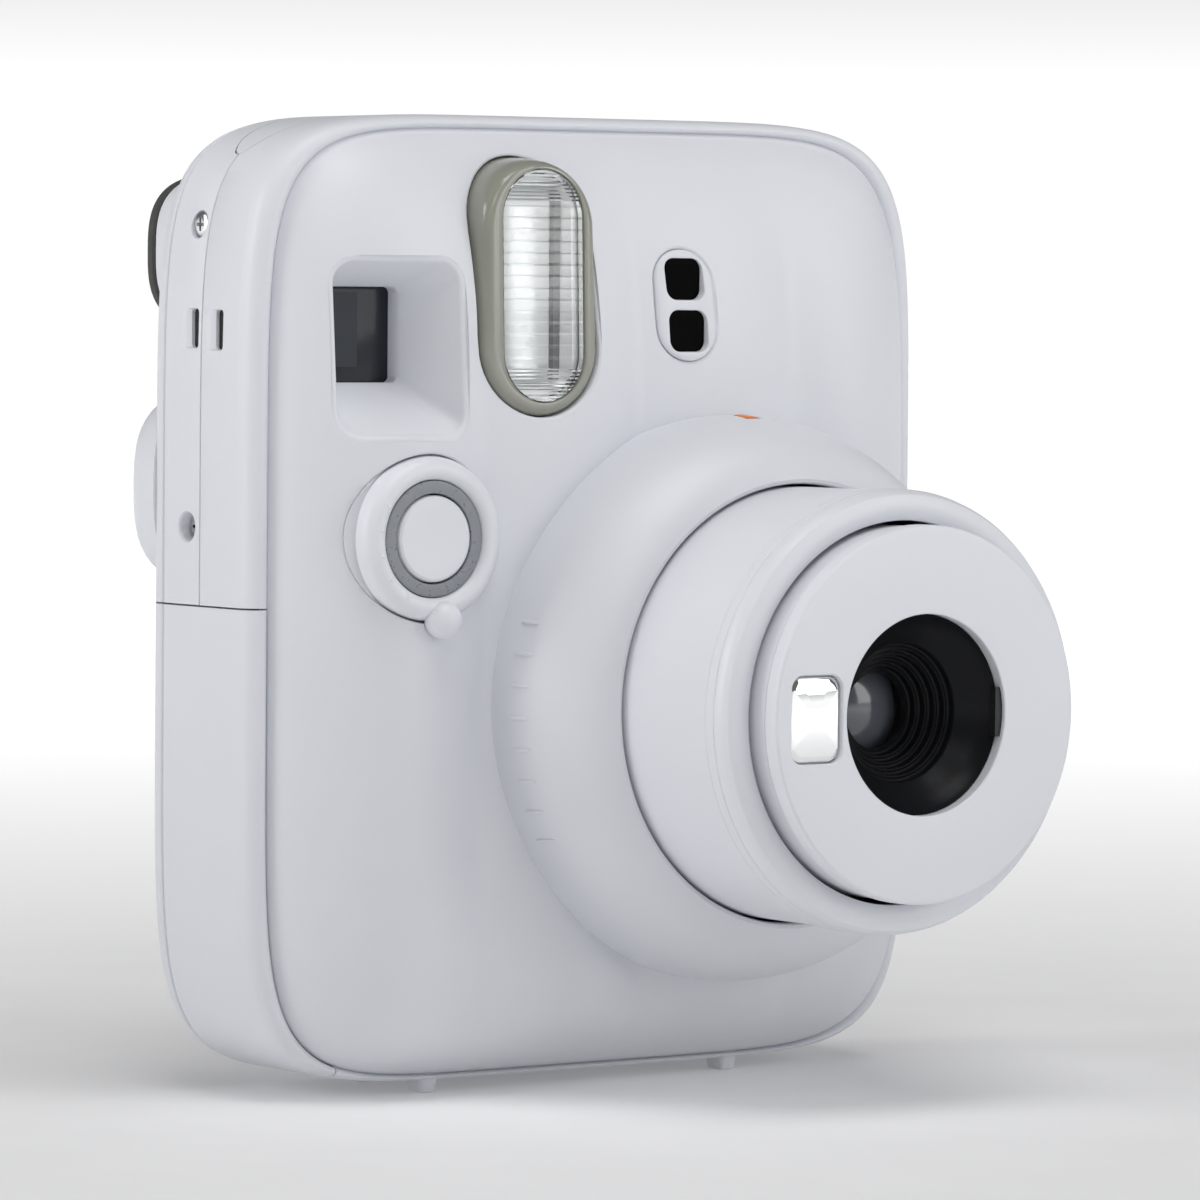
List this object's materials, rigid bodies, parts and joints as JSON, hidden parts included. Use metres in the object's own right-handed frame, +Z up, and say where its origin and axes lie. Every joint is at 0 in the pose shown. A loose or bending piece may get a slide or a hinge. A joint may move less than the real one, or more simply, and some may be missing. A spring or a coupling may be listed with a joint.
{
  "type": "instant camera",
  "caption": "Upright instant film camera with a padded front panel, twist-out lens barrel, tall flash window, peephole finder and rear film door.",
  "frame": {"origin": "centre of the bounding box in plan, on the plane of the four feet", "axes": "+X to the right seen from the front, the lens looks along -Y, +Z up"},
  "size_m": [0.104, 0.0834, 0.122],
  "materials": {
    "shell_white": "fine satin moulded shell",
    "black_plastic": "matte black moulding",
    "dark_rubber": "soft grained rubber",
    "clear_plastic": "clear moulded window",
    "tinted_bezel": "grey-green translucent gloss",
    "silver": "bright reflector",
    "mirror_silver": "convex mirror",
    "lens_glass": "coated lens",
    "steel": "plated steel",
    "gear_white": "natural acetal",
    "board_green": "solder mask",
    "light_grey": "translucent light guide",
    "cell_sleeve": "plain printed sleeve",
    "orange_mark": "painted index"
  },
  "bodies": {
    "camera_body": {"front_cover": "shell_white", "rear_cover": "shell_white", "top_slot_bezel": "shell_white", "flash_bezel": "tinted_bezel", "flash_lens": "clear_plastic", "flash_reflector": "silver", "flash_tube": "clear_plastic", "sensor_bezel": "shell_white", "light_sensor_upper": "black_plastic", "light_sensor_lower": "black_plastic", "button_light_ring": "light_grey", "button_switch": "black_plastic", "viewfinder_window": "clear_plastic", "viewfinder_tunnel": "black_plastic", "eyepiece_lens": "clear_plastic", "eyecup": "dark_rubber", "index_mark": "orange_mark", "film_chamber": "black_plastic", "film_pack": "black_plastic", "dark_cone": "black_plastic", "roller_bracket_left": "steel", "roller_bracket_right": "steel", "eject_motor": "steel", "circuit_board": "board_green", "flash_capacitor": "black_plastic", "battery_cradle": "black_plastic", "battery_cell_1": "cell_sleeve", "battery_cell_2": "cell_sleeve", "counter_window": "clear_plastic", "side_screw_upper": "steel", "side_screw_lower": "steel"},
    "battery_door": {"battery_door": "shell_white"},
    "film_door": {"film_door": "shell_white", "film_check_window": "clear_plastic"},
    "door_latch": {"door_latch": "shell_white"},
    "lens_sleeve": {"guide_sleeve": "black_plastic"},
    "twist_ring": {"twist_ring": "shell_white"},
    "lens_barrel": {"inner_barrel": "shell_white", "front_disc": "shell_white", "selfie_mirror": "mirror_silver", "lens_hood": "black_plastic", "front_element": "lens_glass", "lens_cell": "black_plastic", "shutter_plate": "black_plastic", "rear_element": "lens_glass", "rear_cell": "black_plastic"},
    "blade_upper": {"shutter_blade_upper": "steel"},
    "blade_lower": {"shutter_blade_lower": "steel"},
    "shutter_button": {"shutter_button": "shell_white"},
    "timer_ring": {"self_timer_ring": "shell_white"},
    "roller_front": {"eject_roller_front": "steel"},
    "roller_rear": {"eject_roller_rear": "steel"},
    "idler": {"idler_gear": "gear_white"},
    "pinion": {"motor_pinion": "gear_white"},
    "counter_dial": {"film_counter_dial": "shell_white"}
  },
  "joints": [
    {"name": "lens_extend", "type": "slide", "parent": "camera_body", "child": "lens_sleeve", "axis": [0, -1, 0], "range_m": [-0.0115, 0.0015]},
    {"name": "twist_ring_turn", "type": "hinge", "parent": "lens_sleeve", "child": "twist_ring", "pos_m": [0.01287, 0.0103, 0.04905], "axis": [0, -1, 0], "range_deg": [-46, 6.5]},
    {"name": "barrel_extend", "type": "slide", "parent": "lens_sleeve", "child": "lens_barrel", "axis": [0, -1, 0], "range_m": [-0.0041, 0.0006]},
    {"name": "blade_upper_pivot", "type": "hinge", "parent": "lens_barrel", "child": "blade_upper", "pos_m": [0.02427, -0.0228, 0.05085], "axis": [0, 1, 0], "range_deg": [0, 26]},
    {"name": "blade_lower_pivot", "type": "hinge", "parent": "lens_barrel", "child": "blade_lower", "pos_m": [0.02427, -0.0222, 0.04725], "axis": [0, 1, 0], "range_deg": [-26.5, 0]},
    {"name": "shutter_press", "type": "slide", "parent": "camera_body", "child": "shutter_button", "axis": [0, 1, 0], "range_m": [0, 0.001], "stiffness_N_per_m": 900, "springref_m": -0.0004},
    {"name": "self_timer_turn", "type": "hinge", "parent": "camera_body", "child": "timer_ring", "pos_m": [-0.0327, -0.0011, 0.0698], "axis": [0, 1, 0], "range_deg": [0, 50]},
    {"name": "film_door_hinge", "type": "hinge", "parent": "camera_body", "child": "film_door", "pos_m": [-0.0227, 0.03145, 0.0571], "axis": [0, 0, 1], "range_deg": [0, 83]},
    {"name": "door_latch_slide", "type": "slide", "parent": "film_door", "child": "door_latch", "axis": [-1, 0, 0], "range_m": [0, 0.0022], "stiffness_N_per_m": 350, "springref_m": -0.0005},
    {"name": "battery_door_slide", "type": "slide", "parent": "camera_body", "child": "battery_door", "axis": [-1, 0, 0], "range_m": [0, 0.03]},
    {"name": "roller_front_spin", "type": "hinge", "parent": "camera_body", "child": "roller_front", "pos_m": [0, 0.01505, 0.1106], "axis": [1, 0, 0], "continuous": true},
    {"name": "roller_rear_spin", "type": "hinge", "parent": "camera_body", "child": "roller_rear", "pos_m": [0, 0.02235, 0.1106], "axis": [1, 0, 0], "continuous": true},
    {"name": "idler_spin", "type": "hinge", "parent": "camera_body", "child": "idler", "pos_m": [0.0383, 0.01185, 0.104], "axis": [1, 0, 0], "continuous": true},
    {"name": "pinion_spin", "type": "hinge", "parent": "camera_body", "child": "pinion", "pos_m": [0.0383, 0.0088, 0.0986], "axis": [1, 0, 0], "continuous": true},
    {"name": "counter_dial_turn", "type": "hinge", "parent": "camera_body", "child": "counter_dial", "pos_m": [0.034, 0.0284, 0.113], "axis": [0, 1, 0], "range_deg": [-300, 0]}
  ],
  "couplings": [
    {"joint": "twist_ring_turn", "follows": "lens_extend", "rad_per_m": 68.3},
    {"joint": "barrel_extend", "follows": "lens_extend", "ratio": 0.3478},
    {"joint": "blade_lower_pivot", "follows": "blade_upper_pivot", "ratio": -1},
    {"joint": "roller_rear_spin", "follows": "roller_front_spin", "ratio": -1},
    {"joint": "idler_spin", "follows": "roller_front_spin", "ratio": -1},
    {"joint": "pinion_spin", "follows": "roller_front_spin", "ratio": 1.4}
  ]
}
